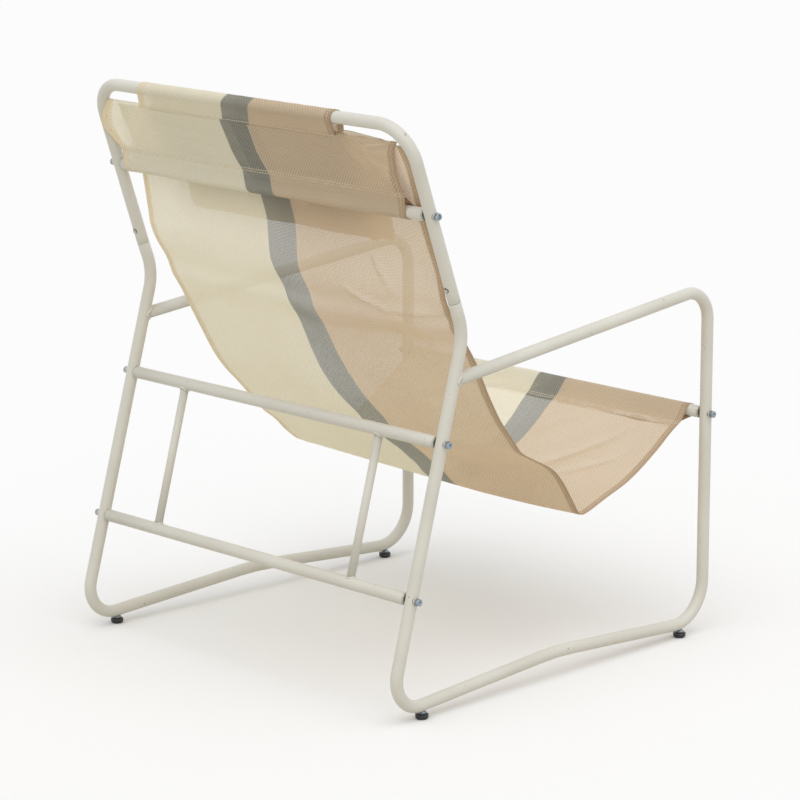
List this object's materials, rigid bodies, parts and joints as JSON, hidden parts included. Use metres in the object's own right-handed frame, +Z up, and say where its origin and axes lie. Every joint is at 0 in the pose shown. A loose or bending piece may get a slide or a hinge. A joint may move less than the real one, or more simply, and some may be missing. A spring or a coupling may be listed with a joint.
{
  "type": "sling patio chair",
  "caption": "Outdoor lounge chair: bent steel tube side frames and back hoop, bolted cross bars, a hanging mesh sling seat and back, a head pillow and screw-in feet.",
  "frame": {"origin": "on the floor under the middle of the chair's bounding box", "axes": "+X to the sitter's left, the sitter faces -Y, +Z up"},
  "size_m": [0.6936, 0.6744, 0.8392],
  "materials": {
    "frame_paint": "off-white powder coat on steel tube, satin",
    "zinc_steel": "bright zinc plating",
    "spring_steel": "plain spring steel strip",
    "black_plastic": "black moulded pad, matt",
    "mesh_fabric": "coated polyester mesh in cream and beige fields with a grey stripe",
    "pillow_fabric": "plain beige woven cloth over soft filling"
  },
  "bodies": {
    "chair": {"side_frame_left": "frame_paint", "side_frame_right": "frame_paint", "back_hoop": "frame_paint", "upper_back_bar": "frame_paint", "rear_upper_rail": "frame_paint", "rear_lower_rail": "frame_paint", "front_seat_bar": "frame_paint", "rear_strut_left": "frame_paint", "rear_strut_right": "frame_paint", "joint_sleeve_left": "zinc_steel", "snap_spring_left": "spring_steel", "joint_sleeve_right": "zinc_steel", "snap_spring_right": "spring_steel", "upper_back_bar_insert_left": "zinc_steel", "upper_back_bar_washer_left": "zinc_steel", "upper_back_bar_bolt_left": "zinc_steel", "upper_back_bar_insert_right": "zinc_steel", "upper_back_bar_washer_right": "zinc_steel", "upper_back_bar_bolt_right": "zinc_steel", "rear_upper_rail_insert_left": "zinc_steel", "rear_upper_rail_washer_left": "zinc_steel", "rear_upper_rail_bolt_left": "zinc_steel", "rear_upper_rail_insert_right": "zinc_steel", "rear_upper_rail_washer_right": "zinc_steel", "rear_upper_rail_bolt_right": "zinc_steel", "rear_lower_rail_insert_left": "zinc_steel", "rear_lower_rail_washer_left": "zinc_steel", "rear_lower_rail_bolt_left": "zinc_steel", "rear_lower_rail_insert_right": "zinc_steel", "rear_lower_rail_washer_right": "zinc_steel", "rear_lower_rail_bolt_right": "zinc_steel", "front_seat_bar_insert_left": "zinc_steel", "front_seat_bar_washer_left": "zinc_steel", "front_seat_bar_bolt_left": "zinc_steel", "front_seat_bar_insert_right": "zinc_steel", "front_seat_bar_washer_right": "zinc_steel", "front_seat_bar_bolt_right": "zinc_steel", "foot_nut_rear_left": "zinc_steel", "foot_nut_rear_right": "zinc_steel", "foot_nut_front_left": "zinc_steel", "foot_nut_front_right": "zinc_steel", "seat_sling": "mesh_fabric", "rear_panel": "mesh_fabric", "head_pillow": "pillow_fabric"},
    "snap_button_left": {"snap_button_left": "zinc_steel"},
    "snap_button_right": {"snap_button_right": "zinc_steel"},
    "foot_stud_rear_left": {"foot_stud_rear_left": "zinc_steel"},
    "foot_pad_rear_left": {"foot_pad_rear_left": "black_plastic"},
    "foot_stud_rear_right": {"foot_stud_rear_right": "zinc_steel"},
    "foot_pad_rear_right": {"foot_pad_rear_right": "black_plastic"},
    "foot_stud_front_left": {"foot_stud_front_left": "zinc_steel"},
    "foot_pad_front_left": {"foot_pad_front_left": "black_plastic"},
    "foot_stud_front_right": {"foot_stud_front_right": "zinc_steel"},
    "foot_pad_front_right": {"foot_pad_front_right": "black_plastic"}
  },
  "joints": [
    {"name": "snap_button_left_press", "type": "slide", "parent": "chair", "child": "snap_button_left", "axis": [0, -0.9373, 0.3485], "range_m": [0, 0.004], "stiffness_N_per_m": 2000, "springref_m": -0.002, "deforming": ["snap_spring_left"]},
    {"name": "snap_button_right_press", "type": "slide", "parent": "chair", "child": "snap_button_right", "axis": [0, -0.9373, 0.3485], "range_m": [0, 0.004], "stiffness_N_per_m": 2000, "springref_m": -0.002, "deforming": ["snap_spring_right"]},
    {"name": "foot_rear_left_height", "type": "slide", "parent": "chair", "child": "foot_stud_rear_left", "axis": [0, 0, -1], "range_m": [0, 0.004]},
    {"name": "foot_rear_left_turn", "type": "hinge", "parent": "foot_stud_rear_left", "child": "foot_pad_rear_left", "pos_m": [0.32942, 0.27842, 0.004], "axis": [0, 0, -1], "range_deg": [0, 1441]},
    {"name": "foot_rear_right_height", "type": "slide", "parent": "chair", "child": "foot_stud_rear_right", "axis": [0, 0, -1], "range_m": [0, 0.004]},
    {"name": "foot_rear_right_turn", "type": "hinge", "parent": "foot_stud_rear_right", "child": "foot_pad_rear_right", "pos_m": [-0.32942, 0.27842, 0.004], "axis": [0, 0, -1], "range_deg": [0, 1441]},
    {"name": "foot_front_left_height", "type": "slide", "parent": "chair", "child": "foot_stud_front_left", "axis": [0, 0, -1], "range_m": [0, 0.004]},
    {"name": "foot_front_left_turn", "type": "hinge", "parent": "foot_stud_front_left", "child": "foot_pad_front_left", "pos_m": [0.31716, -0.27479, 0.004], "axis": [0, 0, -1], "range_deg": [0, 1441]},
    {"name": "foot_front_right_height", "type": "slide", "parent": "chair", "child": "foot_stud_front_right", "axis": [0, 0, -1], "range_m": [0, 0.004]},
    {"name": "foot_front_right_turn", "type": "hinge", "parent": "foot_stud_front_right", "child": "foot_pad_front_right", "pos_m": [-0.31716, -0.27479, 0.004], "axis": [0, 0, -1], "range_deg": [0, 1441]}
  ],
  "couplings": [
    {"joint": "foot_rear_left_turn", "follows": "foot_rear_left_height", "rad_per_m": 6283.2},
    {"joint": "foot_rear_right_turn", "follows": "foot_rear_right_height", "rad_per_m": 6283.2},
    {"joint": "foot_front_left_turn", "follows": "foot_front_left_height", "rad_per_m": 6283.2},
    {"joint": "foot_front_right_turn", "follows": "foot_front_right_height", "rad_per_m": 6283.2}
  ]
}
